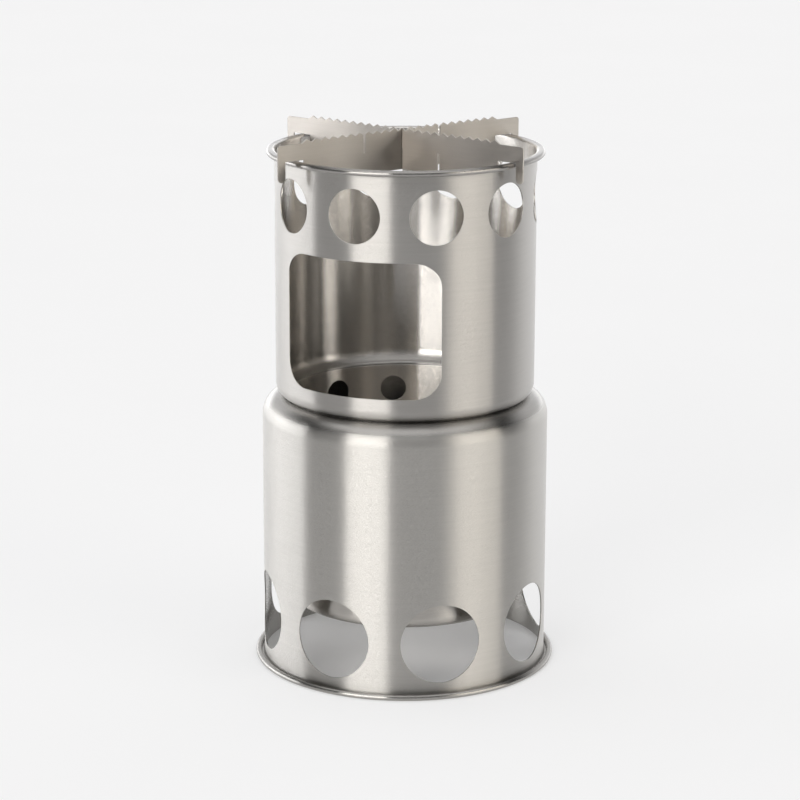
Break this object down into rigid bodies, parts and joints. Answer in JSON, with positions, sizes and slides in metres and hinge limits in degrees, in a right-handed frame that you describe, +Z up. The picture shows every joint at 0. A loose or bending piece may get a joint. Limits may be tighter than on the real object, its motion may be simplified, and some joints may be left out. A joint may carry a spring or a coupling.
{
  "type": "twig stove",
  "caption": "Upright round camp stove of brushed steel: a vented base with a burn pot, a fire chamber with a feed door on top, and a cross-shaped serrated pot stand.",
  "frame": {"origin": "centre of the foot, on the ground", "axes": "+Z up, along the stove's axis; the feed door faces -Y"},
  "size_m": [0.1146, 0.1146, 0.204],
  "materials": {
    "brushed_shell": "brushed round the wall",
    "pot_steel": "drawn, dull",
    "grate_steel": "rolled sheet, dull",
    "stand_steel": "brushed along the plate"
  },
  "bodies": {
    "base": {"base_shell": "brushed_shell", "burn_pot": "pot_steel"},
    "grate": {"fire_grate": "grate_steel"},
    "chamber": {"fire_chamber": "brushed_shell"},
    "lower_plate": {"stand_plate_lower": "stand_steel"},
    "upper_plate": {"stand_plate_upper": "stand_steel"}
  },
  "joints": [
    {"name": "chamber_lift", "type": "slide", "parent": "base", "child": "chamber", "axis": [0, 0, 1], "range_m": [0, 0.12]},
    {"name": "grate_lift", "type": "slide", "parent": "base", "child": "grate", "axis": [0, 0, 1], "range_m": [0, 0.15]},
    {"name": "lower_plate_lift", "type": "slide", "parent": "chamber", "child": "lower_plate", "axis": [0, 0, 1], "range_m": [0, 0.06]},
    {"name": "upper_plate_lift", "type": "slide", "parent": "lower_plate", "child": "upper_plate", "axis": [0, 0, 1], "range_m": [0, 0.04]}
  ]
}
